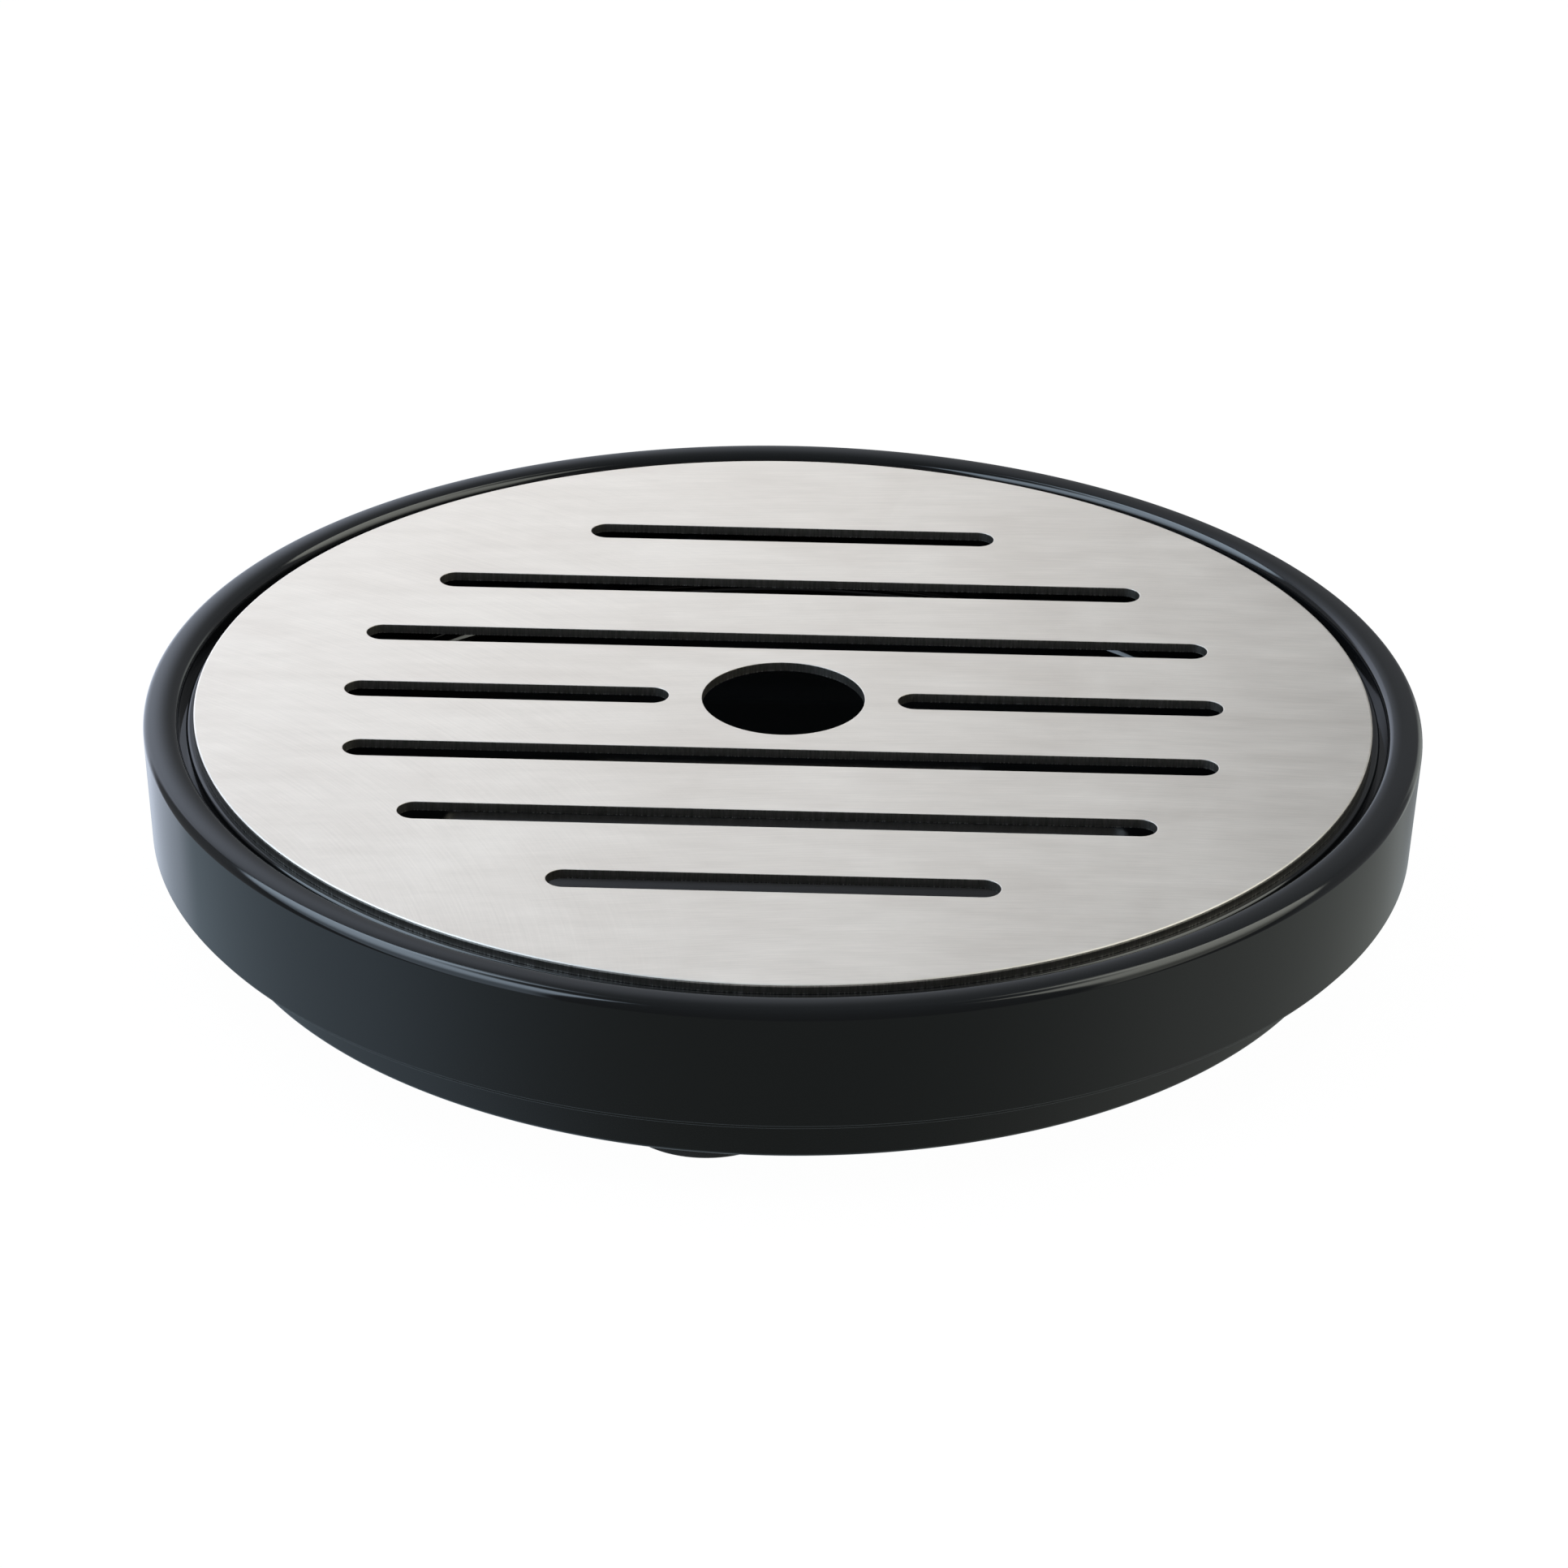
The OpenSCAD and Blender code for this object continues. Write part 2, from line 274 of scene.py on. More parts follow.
def black_abs(name, code, gloss, ripple_height):
    """Moulded black ABS. A polished mould leaves a deep gloss with long soft ripples, and handling
    leaves a faint haze that shows only as small changes of gloss."""
    made, tree, shader, place = start_material(name, **{
        "Base Color": colour(code), "Metallic": 0.0, "IOR": 1.53,
    })
    ripple_mm = 7.0
    ripple = add(tree, "ShaderNodeTexNoise", {
        "Vector": place, "Scale": 1 / (ripple_mm * MM), "Detail": 1.0, "Roughness": 0.4})
    haze_mm = 2.5
    haze = add(tree, "ShaderNodeTexNoise", {
        "Vector": place, "Scale": 1 / (haze_mm * MM), "Detail": 6.0, "Roughness": 0.7})
    rough = add(tree, "ShaderNodeMapRange", {
        "Value": haze.outputs["Fac"], "From Min": 0.3, "From Max": 0.7,
        "To Min": gloss * 0.8, "To Max": gloss * 1.25})
    bump = add(tree, "ShaderNodeBump", {
        "Height": ripple.outputs["Fac"], "Strength": 1.0, "Distance": ripple_height})
    tree.links.new(rough.outputs["Result"], shader.inputs["Roughness"])
    tree.links.new(bump.outputs["Normal"], shader.inputs["Normal"])
    return made


def arc_hairlines(tree, place, centre_mm, radius_mm, length_mm, width_mm):
    """Noise drawn out along circles about a far centre, as a turning pad leaves it."""
    centre = tuple(value * MM for value in centre_mm)
    away = add(tree, "ShaderNodeVectorMath", {0: place, 1: centre}, operation="SUBTRACT")
    apart = add(tree, "ShaderNodeSeparateXYZ", {"Vector": away.outputs["Vector"]}).outputs
    turn = add(tree, "ShaderNodeMath", {0: apart["Y"], 1: apart["X"]}, operation="ARCTAN2")
    along = add(tree, "ShaderNodeMath", {
        0: turn.outputs["Value"], 1: radius_mm / length_mm}, operation="MULTIPLY")
    distance = add(tree, "ShaderNodeVectorMath", {0: away.outputs["Vector"]}, operation="LENGTH")
    across = add(tree, "ShaderNodeMath", {
        0: distance.outputs["Value"], 1: 1 / (width_mm * MM)}, operation="MULTIPLY")
    drawn = add(tree, "ShaderNodeCombineXYZ", {
        "X": along.outputs["Value"], "Y": across.outputs["Value"]})
    return add(tree, "ShaderNodeTexNoise", {
        "Vector": drawn.outputs["Vector"], "Scale": 1.0, "Detail": 3.0,
        "Roughness": 0.6}).outputs["Fac"]


def satin_stainless():
    """Rolled stainless sheet, finely ground: a soft pale sheen with short hairlines, nearly
    along the slots on the right and sweeping round in arcs on the left, and a faint cloudiness
    where it was wiped and handled."""
    made, tree, shader, place = start_material("satin_stainless_sheet", **{
        "Metallic": 1.0, "Anisotropic": 0.2,
    })
    noise_low, noise_high = 0.36, 0.64  # where most of the noise lies
    # hairlines are drawn 0.2 mm wide where real ones are about 0.02 mm, so that they show
    level = arc_hairlines(
        tree, place, centre_mm=(40, -420, 0), radius_mm=400, length_mm=9.0, width_mm=0.2)
    swept = arc_hairlines(
        tree, place, centre_mm=(-120, -81, 0), radius_mm=90, length_mm=14.0, width_mm=0.25)
    side = add(tree, "ShaderNodeSeparateXYZ", {"Vector": place})
    left = add(tree, "ShaderNodeMapRange", {
        "Value": side.outputs["X"], "From Min": 5 * MM, "From Max": -45 * MM,
        "To Min": 0.0, "To Max": 0.75}, interpolation_type="SMOOTHSTEP")
    grind = add(tree, "ShaderNodeMix", {
        "Factor": left.outputs["Result"], "A": level, "B": swept}, data_type="FLOAT")
    cloud_mm = 24.0
    cloud = add(tree, "ShaderNodeTexNoise", {
        "Vector": place, "Scale": 1 / (cloud_mm * MM), "Detail": 5.0, "Roughness": 0.6,
        "Distortion": 0.5})
    wipe_mm = (16.0, 3.5)
    wiped = add(tree, "ShaderNodeMapping", {
        "Vector": place, "Rotation": (0, 0, math.radians(-6)),
        "Scale": (1 / (wipe_mm[0] * MM), 1 / (wipe_mm[1] * MM), 1 / (wipe_mm[1] * MM))})
    wipe = add(tree, "ShaderNodeTexNoise", {
        "Vector": wiped.outputs["Vector"], "Scale": 1.0, "Detail": 4.0, "Roughness": 0.6})
    haze = add(tree, "ShaderNodeMix", {
        "Factor": 0.45, "A": cloud.outputs["Fac"], "B": wipe.outputs["Fac"]},
        data_type="FLOAT")
    tone = add(tree, "ShaderNodeMapRange", {
        "Value": haze.outputs[0], "From Min": noise_low, "From Max": noise_high})
    tint = add(tree, "ShaderNodeMix", {
        "Factor": tone.outputs["Result"], "A": colour("#cec7bf"), "B": colour("#ddd6ce")},
        data_type="RGBA")
    line = add(tree, "ShaderNodeMapRange", {
        "Value": grind.outputs[0], "From Min": noise_low, "From Max": noise_high,
        "To Min": 0.955, "To Max": 1.025})
    shade = add(tree, "ShaderNodeMix", {
        "Factor": 1.0, "A": tint.outputs[2], "B": line.outputs["Result"]},
        data_type="RGBA", blend_type="MULTIPLY")
    rough = add(tree, "ShaderNodeMapRange", {
        "Value": haze.outputs[0], "From Min": noise_low, "From Max": noise_high,
        "To Min": 0.41, "To Max": 0.47})
    bump = add(tree, "ShaderNodeBump", {
        "Height": grind.outputs[0], "Strength": 0.3, "Distance": 0.01 * MM})
    tree.links.new(shade.outputs[2], shader.inputs["Base Color"])
    tree.links.new(rough.outputs["Result"], shader.inputs["Roughness"])
    tree.links.new(bump.outputs["Normal"], shader.inputs["Normal"])
    grain = add(tree, "ShaderNodeTangent", direction_type="UV_MAP", uv_map="grain")
    tree.links.new(grain.outputs["Tangent"], shader.inputs["Tangent"])
    return made


def laser_cut_edge():
    """The cut wall of the same sheet: dulled to a grey brown by the beam, with upright striations
    a quarter of a millimetre apart and a broken bright burr along its lower edge."""
    made, tree, shader, place = start_material("laser_cut_stainless_edge", **{
        "Metallic": 1.0, "Roughness": 0.42,
    })
    stripe_mm, stripe_length_mm, burr_mm = 0.25, 2.0, 0.25
    stretched = add(tree, "ShaderNodeMapping", {
        "Vector": place,
        "Scale": (1 / (stripe_mm * MM), 1 / (stripe_mm * MM), 1 / (stripe_length_mm * MM))})
    stripes = add(tree, "ShaderNodeTexNoise", {
        "Vector": stretched.outputs["Vector"], "Scale": 1.0, "Detail": 3.0, "Roughness": 0.7})
    height = add(tree, "ShaderNodeSeparateXYZ", {"Vector": place})
    burr_zone = add(tree, "ShaderNodeMapRange", {
        "Value": height.outputs["Z"], "From Min": SEAT_Z + burr_mm * MM,
        "From Max": SEAT_Z})
    speck = add(tree, "ShaderNodeMapRange", {
        "Value": stripes.outputs["Fac"], "From Min": 0.5, "From Max": 0.62})
    burr = add(tree, "ShaderNodeMath", {
        0: burr_zone.outputs["Result"], 1: speck.outputs["Result"]}, operation="MULTIPLY")
    dark = add(tree, "ShaderNodeMix", {
        "Factor": stripes.outputs["Fac"], "A": colour("#4c4945"), "B": colour("#aca8a2")},
        data_type="RGBA")
    tint = add(tree, "ShaderNodeMix", {
        "Factor": burr.outputs["Value"], "A": dark.outputs[2], "B": colour("#f4f1ec")},
        data_type="RGBA")
    bump = add(tree, "ShaderNodeBump", {
        "Height": stripes.outputs["Fac"], "Strength": 0.8, "Distance": 0.04 * MM})
    tree.links.new(tint.outputs[2], shader.inputs["Base Color"])
    tree.links.new(bump.outputs["Normal"], shader.inputs["Normal"])
    return made


def foot_rubber():
    """Moulded black rubber: matt, with a fine even grain and a dusty bloom."""
    made, tree, shader, place = start_material("moulded_black_rubber", **{"IOR": 1.52})
    grain_mm = 0.2
    grain = add(tree, "ShaderNodeTexNoise", {
        "Vector": place, "Scale": 1 / (grain_mm * MM), "Detail": 2.0, "Roughness": 0.6})
    bloom_mm = 6.0
    bloom = add(tree, "ShaderNodeTexNoise", {
        "Vector": place, "Scale": 1 / (bloom_mm * MM), "Detail": 4.0, "Roughness": 0.6})
    tint = add(tree, "ShaderNodeMix", {
        "Factor": bloom.outputs["Fac"], "A": colour("#121212"), "B": colour("#232323")},
        data_type="RGBA")
    rough = add(tree, "ShaderNodeMapRange", {
        "Value": bloom.outputs["Fac"], "To Min": 0.62, "To Max": 0.85})
    bump = add(tree, "ShaderNodeBump", {
        "Height": grain.outputs["Fac"], "Strength": 0.5, "Distance": 0.02 * MM})
    tree.links.new(tint.outputs[2], shader.inputs["Base Color"])
    tree.links.new(rough.outputs["Result"], shader.inputs["Roughness"])
    tree.links.new(bump.outputs["Normal"], shader.inputs["Normal"])
    return made


def zinc_plate():
    """Zinc-plated steel: pale blue-grey, with small soft patches from the bath."""
    made, tree, shader, place = start_material("zinc_plated_steel", **{"Metallic": 1.0})
    patch_mm = 0.8
    patch = add(tree, "ShaderNodeTexNoise", {
        "Vector": place, "Scale": 1 / (patch_mm * MM), "Detail": 4.0, "Roughness": 0.65})
    tint = add(tree, "ShaderNodeMix", {
        "Factor": patch.outputs["Fac"], "A": colour("#9aa1a8"), "B": colour("#c2c4c0")},
        data_type="RGBA")
    rough = add(tree, "ShaderNodeMapRange", {
        "Value": patch.outputs["Fac"], "From Min": 0.3, "From Max": 0.7,
        "To Min": 0.25, "To Max": 0.42})
    tree.links.new(tint.outputs[2], shader.inputs["Base Color"])
    tree.links.new(rough.outputs["Result"], shader.inputs["Roughness"])
    return made


HOUSING_ABS = black_abs(
    "polished_black_abs_housing", "#0e0f10", gloss=0.075, ripple_height=0.002 * MM)
BASE_ABS = black_abs(
    "semi_gloss_black_abs_base", "#0e0f10", gloss=0.1, ripple_height=0.003 * MM)
BOWL_ABS = black_abs(
    "polished_black_abs_bowl", "#0c0d0e", gloss=0.055, ripple_height=0.002 * MM)
STEEL = satin_stainless()
CUT_STEEL = laser_cut_edge()
RUBBER = foot_rubber()
ZINC = zinc_plate()


# ---------------------------------------------------------------- housing

def skirt_r(z):
    """The radius of the drafted outer wall at a height."""
    return RIM_R - (RIM_Z - z) * math.tan(SKIRT_DRAFT)


def circle_points(centre, r, start, end, steps):
    """Points of a circle, between two directions in degrees."""
    angles = [math.radians(start + (end - start) * i / steps) for i in range(steps + 1)]
    return [(centre[0] + r * math.cos(a), centre[1] + r * math.sin(a)) for a in angles]


def rim_points():
    """The rim's crowned top: two round edges, and a shallow curve that runs smoothly into both."""
    draft, crown = math.degrees(SKIRT_DRAFT), math.degrees(RIM_CROWN)
    outer_z = RIM_Z - RIM_OUTER_EDGE * math.cos(RIM_CROWN)
    outer_r = skirt_r(outer_z) - RIM_OUTER_EDGE / math.cos(SKIRT_DRAFT)
    inner_z = RIM_Z - RIM_INNER_EDGE * math.cos(RIM_CROWN)
    inner_r = RIM_IN_R + RIM_INNER_EDGE
    high = outer_r + RIM_OUTER_EDGE * math.sin(RIM_CROWN)
    low = inner_r - RIM_INNER_EDGE * math.sin(RIM_CROWN)
    radius = (high - low) / 2 / math.sin(RIM_CROWN)
    middle = ((high + low) / 2, RIM_Z - radius * math.cos(RIM_CROWN))
    points = circle_points((outer_r, outer_z), RIM_OUTER_EDGE, -draft, 90 - crown, 14)
    points += circle_points(middle, radius, 90 - crown, 90 + crown, 12)[1:]
    points += circle_points((inner_r, inner_z), RIM_INNER_EDGE, 90 + crown, 180, 12)[1:]
    return points


def housing_outline():
    """Half section of the housing: up the outer wall, over the crowned rim, down to the ledge."""
    draft = math.degrees(SKIRT_DRAFT)
    foot_r = skirt_r(SKIRT_Z)
    points = arc((foot_r, SKIRT_Z), SKIRT_EDGE, 180, 90 - draft, 5)
    points += rim_points()
    points += [
        (RIM_IN_R, LEDGE_Z),
        (LEDGE_R, LEDGE_Z),
        (LEDGE_R, LEDGE_Z - LEDGE_T),
        (skirt_r(LEDGE_Z - LEDGE_T) - SHELL_T, LEDGE_Z - LEDGE_T),
        (foot_r - SHELL_T, SKIRT_Z),
    ]
    return points


def boss_outline():
    """Half section of a screw boss, with its blind hole."""
    top = LEDGE_Z - LEDGE_T / 2
    return [
        (SCREW_HOLE_R, FLANGE_Z),
        (BOSS_R, FLANGE_Z),
        (BOSS_R, top),
        (0, top),
        (0, FLANGE_Z + SCREW_REACH),
        (SCREW_HOLE_R, FLANGE_Z + SCREW_REACH),
    ]


housing = lathe("housing_shell", housing_outline())
housing.data.materials.append(HOUSING_ABS)
finish_mesh(housing)
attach(housing, "base")
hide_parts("housing")

boss = lathe("screw_boss", boss_outline(), SMALL_TURN_SEGMENTS)
bosses = run_ring("screw_bosses", boss, HOUSING_ABS, SCREW_RING_R, SCREW_TURN)
finish_mesh(bosses)
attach(bosses, "base")


# ---------------------------------------------------------------- base pan

def base_outline():
    """Half section of the base: floor, stepped-in wall, lip under the housing, and flange."""
    draft = math.degrees(BASE_DRAFT)
    fall = math.tan(BASE_DRAFT)
    low_r = BASE_R - (LIP_Z - BASE_Z) * fall
    floor_z = BASE_Z + BASE_FLOOR_T
    points = [(0, BASE_Z), (BASE_MIDDLE_R, BASE_Z)]
    points += arc((low_r, BASE_Z), BASE_EDGE, 180, 90 - draft, 10)
    points += [(BASE_R, LIP_Z)]
    points += arc((LIP_R, LIP_Z), LIP_EDGE, 180, 90, 4)
    points += [
        (LIP_R, SKIRT_Z),
        (FLANGE_R, SKIRT_Z),
        (FLANGE_R, FLANGE_Z),
        (BASE_R - BASE_T, FLANGE_Z),
        (low_r - BASE_T, floor_z),
        (BASE_MIDDLE_R, floor_z),
        (0, floor_z),
    ]
    return points


def foot_seat_outline():
    """Half section of what a foot and its stem take out of the floor."""
    below, top = BASE_Z - CUT_PAST, BASE_Z + FOOT_RECESS
    above = BASE_Z + BASE_FLOOR_T + CUT_PAST
    return [
        (0, below),
        (FOOT_HOLE_R, below),
        (FOOT_HOLE_R, top),
        (STEM_HOLE_R, top),
        (STEM_HOLE_R, above),
        (0, above),
    ]


def screw_seat_outline():
    """Half section of what a screw takes out of the lip and the flange."""
    below, above = LIP_Z - CUT_PAST, FLANGE_Z + CUT_PAST
    return [
        (0, below),
        (SCREW_HEAD_R, below),
        (SCREW_HEAD_R, LIP_Z),
        (SCREW_HOLE_R, LIP_Z + SCREW_HEAD_H),
        (SCREW_HOLE_R, above),
        (0, above),
    ]


base_pan = lathe("base_pan_moulding", base_outline())
base_pan.data.materials.append(BASE_ABS)
seats = [
    run_ring("foot_seats", lathe("foot_seat", foot_seat_outline(), 2 * SMALL_TURN_SEGMENTS),
             BASE_ABS, FOOT_RING_R, FOOT_TURN),
    run_ring("screw_seats", lathe("screw_seat", screw_seat_outline(), SMALL_TURN_SEGMENTS),
             BASE_ABS, SCREW_RING_R, SCREW_TURN),
]
for seat in seats:
    cutter = base_pan.modifiers.new("cut_for_" + seat.name, "BOOLEAN")
    cutter.operation = "DIFFERENCE"
    cutter.solver = "EXACT"
    cutter.object = seat
finish_mesh(base_pan)
for seat in seats:
    bpy.data.objects.remove(seat)
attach(base_pan, "base")
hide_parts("base_pan")


# ---------------------------------------------------------------- drip bowl

def bowl_r(z):
    """The radius of the outside of the bowl's drafted wall at a height."""
    return BOWL_TOP_R - (LEDGE_Z - z) * (BOWL_TOP_R - BOWL_LOW_R) / (LEDGE_Z - FLANGE_Z)


def bowl_outline():
    """Half section of the bowl, from the middle of its underside out, up, over and back in."""
    draft = math.degrees(math.atan((BOWL_TOP_R - BOWL_LOW_R) / (LEDGE_Z - FLANGE_Z)))
    floor_z = BOWL_Z + BOWL_FLOOR_T
    outside = BOWL_FILLET + BOWL_FLOOR_T
    points = [(0, BOWL_Z), (BOWL_MIDDLE_R, BOWL_Z)]
    points += arc((bowl_r(BOWL_Z), BOWL_Z), outside, 180, 90 - draft, 12)
    points += [(BOWL_TOP_R, LEDGE_Z), (BOWL_RIM_R, LEDGE_Z)]
    points += arc((BOWL_RIM_R, SEAT_Z), BOWL_FLANGE_EDGE, 270, 180, 10)
    points += arc((bowl_r(SEAT_Z) - BOWL_T, SEAT_Z), BOWL_SEAT_EDGE, 0, 270 - draft, 6)
    points += arc((bowl_r(floor_z) - BOWL_T, floor_z), BOWL_FILLET, 90 - draft, 180, 14)
    points += [(BOWL_MIDDLE_R, floor_z), (0, floor_z)]
    return points


bowl = lathe("drip_bowl_moulding", bowl_outline())
bowl.data.materials.append(BOWL_ABS)
finish_mesh(bowl)
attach(bowl, "bowl")
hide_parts("drip_bowl")


# ---------------------------------------------------------------- grille plate

PLATE_SIZES = {
    "Plate Radius": PLATE_R,
    "Thickness": PLATE_Z - SEAT_Z,
    "Seat Height": SEAT_Z,
    "Edge Bevel": PLATE_BEVEL,
    "Cut Edge": CUT_EDGE,
    "Slot Width": SLOT_W,
    "Row Pitch": SLOT_PITCH,
    "Rows Each Side": SLOT_ROWS,
    "Field Radius": SLOT_FIELD_R,
    "Last Row Trim": LAST_ROW_TRIM,
    "Middle Slot Start": MID_SLOT_IN,
    "Middle Slot End": MID_SLOT_OUT,
    "Finger Hole Radius": FINGER_R,
    "Round Steps": 64,
}


def plate_tree():
    """The plate's outline, hole and rows of slots as curves, filled and given their thickness. Each
    slot starts as a circle, and its two halves move apart to the ends of the slot."""
    tree, size, output = new_tree("grille_plate_rows", PLATE_SIZES)

    def math_node(operation, *values):
        inputs = dict(enumerate(values))
        return add(tree, "ShaderNodeMath", inputs, operation=operation).outputs["Value"]

    def vector(x, y, z):
        return add(tree, "ShaderNodeCombineXYZ", {"X": x, "Y": y, "Z": z}).outputs["Vector"]

    radius = math_node("MULTIPLY", size["Slot Width"], 0.5)

    # one point for each slot, which carries how far the slot's ends stand from its middle
    here = add(tree, "ShaderNodeSeparateXYZ",
               {"Vector": add(tree, "GeometryNodeInputPosition").outputs["Position"]}).outputs
    squares = math_node("SUBTRACT", math_node("POWER", size["Field Radius"], 2.0),
                        math_node("POWER", here["Y"], 2.0))
    last_row = math_node("MULTIPLY", size["Row Pitch"],
                         math_node("SUBTRACT", size["Rows Each Side"], 0.5))
    is_last = math_node("GREATER_THAN", math_node("ABSOLUTE", here["Y"]), last_row)
    trim = math_node("MULTIPLY", is_last, size["Last Row Trim"])
    row_reach = math_node("SUBTRACT", math_node("SUBTRACT", math_node("SQRT", squares), radius),
                          trim)
    span = math_node("SUBTRACT", size["Middle Slot End"], size["Middle Slot Start"])
    mid_reach = math_node("SUBTRACT", math_node("MULTIPLY", span, 0.5), radius)
    mid_x = math_node("MULTIPLY", math_node(
        "ADD", size["Middle Slot End"], size["Middle Slot Start"]), 0.5)
    starts = []
    for side in (-1.0, 1.0):
        step = vector(0.0, math_node("MULTIPLY", size["Row Pitch"], side), 0.0)
        line = add(tree, "GeometryNodeMeshLine", {
            "Count": size["Rows Each Side"], "Start Location": step, "Offset": step})
        starts.append(add(tree, "GeometryNodeStoreNamedAttribute", {
            "Geometry": line.outputs["Mesh"], "Name": "reach", "Value": row_reach}))
        point = add(tree, "GeometryNodeMeshLine", {
            "Count": 1, "Start Location": vector(math_node("MULTIPLY", mid_x, side), 0.0, 0.0)})
        starts.append(add(tree, "GeometryNodeStoreNamedAttribute", {
            "Geometry": point.outputs["Mesh"], "Name": "reach", "Value": mid_reach}))
    points = add(tree, "GeometryNodeJoinGeometry")
    for start in starts:
        tree.links.new(start.outputs["Geometry"], points.inputs["Geometry"])

    # a circle whose points know on which side of the middle they are
    circle = add(tree, "GeometryNodeCurvePrimitiveCircle", {
        "Resolution": size["Round Steps"], "Radius": radius})
    half_step = math_node("DIVIDE", math.pi, size["Round Steps"])
    turned = add(tree, "GeometryNodeTransform", {
        "Geometry": circle.outputs["Curve"], "Rotation": vector(0.0, 0.0, half_step)})
    sided = add(tree, "GeometryNodeStoreNamedAttribute", {
        "Geometry": turned.outputs["Geometry"], "Name": "side",
        "Value": math_node("SIGN", here["X"])})
    placed = add(tree, "GeometryNodeInstanceOnPoints", {
        "Points": points.outputs["Geometry"], "Instance": sided.outputs["Geometry"]})
    real = add(tree, "GeometryNodeRealizeInstances", {"Geometry": placed.outputs["Instances"]})
    reach = add(tree, "GeometryNodeInputNamedAttribute", {"Name": "reach"}, data_type="FLOAT")
    side = add(tree, "GeometryNodeInputNamedAttribute", {"Name": "side"}, data_type="FLOAT")
    apart = math_node("MULTIPLY", reach.outputs["Attribute"], side.outputs["Attribute"])
    slots = add(tree, "GeometryNodeSetPosition", {
        "Geometry": real.outputs["Geometry"], "Offset": vector(apart, 0.0, 0.0)})

    # the plate's edge and the finger hole, with more points because they are larger
    fine = math_node("MULTIPLY", size["Round Steps"], 5.0)
    edge = add(tree, "GeometryNodeCurvePrimitiveCircle", {
        "Resolution": fine, "Radius": size["Plate Radius"]})
    hole = add(tree, "GeometryNodeCurvePrimitiveCircle", {
        "Resolution": math_node("MULTIPLY", size["Round Steps"], 2.0),
        "Radius": size["Finger Hole Radius"]})
    outlines = add(tree, "GeometryNodeJoinGeometry")
    for outline in (slots.outputs["Geometry"], edge.outputs["Curve"], hole.outputs["Curve"]):
        tree.links.new(outline, outlines.inputs["Geometry"])
    face = add(tree, "GeometryNodeFillCurve", {"Curve": outlines.outputs["Geometry"]},
               mode="NGONS")

    # two copies of the face, and the walls between them
    walls = add(tree, "GeometryNodeExtrudeMesh", {
        "Mesh": face.outputs["Mesh"], "Offset": vector(0.0, 0.0, 1.0),
        "Offset Scale": size["Thickness"], "Individual": False}, mode="FACES")
    under = add(tree, "GeometryNodeFlipFaces", {"Mesh": face.outputs["Mesh"]})
    both = add(tree, "GeometryNodeJoinGeometry")
    tree.links.new(walls.outputs["Mesh"], both.inputs["Geometry"])
    tree.links.new(under.outputs["Mesh"], both.inputs["Geometry"])
    welded = add(tree, "GeometryNodeMergeByDistance", {
        "Geometry": both.outputs["Geometry"], "Distance": 1e-6})
    raised = add(tree, "GeometryNodeTransform", {
        "Geometry": welded.outputs["Geometry"],
        "Translation": vector(0.0, 0.0, size["Seat Height"])})

    # how far each sharp edge is to be broken, as a share of the bevel of the plate's top edge
    angle = add(tree, "GeometryNodeInputMeshEdgeAngle").outputs["Unsigned Angle"]
    sharp = math_node("GREATER_THAN", angle, math.radians(50))
    out = math_node("SQRT", math_node("ADD", math_node("POWER", here["X"], 2.0),
                                      math_node("POWER", here["Y"], 2.0)))
    outer = math_node("GREATER_THAN", out, math_node("MULTIPLY", size["Plate Radius"], 0.99))
    middle_z = math_node("MULTIPLY_ADD", size["Thickness"], 0.5, size["Seat Height"])
    upper = math_node("GREATER_THAN", here["Z"], middle_z)
    share = math_node("DIVIDE", size["Cut Edge"], size["Edge Bevel"])
    weight = math_node("MULTIPLY", sharp, math_node(
        "MAXIMUM", math_node("MULTIPLY", outer, upper), share))
    weighed = add(tree, "GeometryNodeStoreNamedAttribute", {
        "Geometry": raised.outputs["Geometry"], "Name": "bevel_weight_edge", "Value": weight},
        domain="EDGE")

    normal = add(tree, "ShaderNodeSeparateXYZ", {
        "Vector": add(tree, "GeometryNodeInputNormal").outputs["Normal"]}).outputs
    level = math_node("ABSOLUTE", normal["Z"])
    flat = add(tree, "GeometryNodeSetMaterial", {
        "Geometry": weighed.outputs["Geometry"], "Material": STEEL})
    is_wall = add(tree, "FunctionNodeCompare", {"A": level, "B": 0.5}, operation="LESS_THAN")
    cut = add(tree, "GeometryNodeSetMaterial", {
        "Geometry": flat.outputs["Geometry"], "Material": CUT_STEEL,
        "Selection": is_wall.outputs["Result"]})
    tree.links.new(cut.outputs["Geometry"], output.inputs["Geometry"])
    return tree


plate = run_tree("slotted_plate", plate_tree(), PLATE_SIZES)
broken = plate.modifiers.new("broken_edges", "BEVEL")
broken.limit_method = "WEIGHT"
broken.width = PLATE_BEVEL
broken.segments = 2
broken.use_clamp_overlap = False
broken.material = -1
finish_mesh(plate, weighted=False)

# a map with U along the slots and V across them, for the run of the grinding marks
grain = plate.data.uv_layers.new(name="grain")
for loop in plate.data.loops:
    spot = plate.data.vertices[loop.vertex_index].co
    grain.data[loop.index].uv = (spot.x / PLATE_R / 2 + 0.5, (spot.y + spot.z) / PLATE_R / 2 + 0.5)

plate.data.shade_smooth()
plate.data.set_sharp_from_angle(angle=PLATE_SHARP)
finish_mesh(plate)
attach(plate, "plate")
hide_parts("grille_plate")


# ---------------------------------------------------------------- feet and screws

for name in ("foot_front", "foot_right", "foot_back", "foot_left"):
    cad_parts[name].data.materials[0] = RUBBER
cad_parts["base_screws"].data.materials[0] = ZINC


# ---------------------------------------------------------------- studio

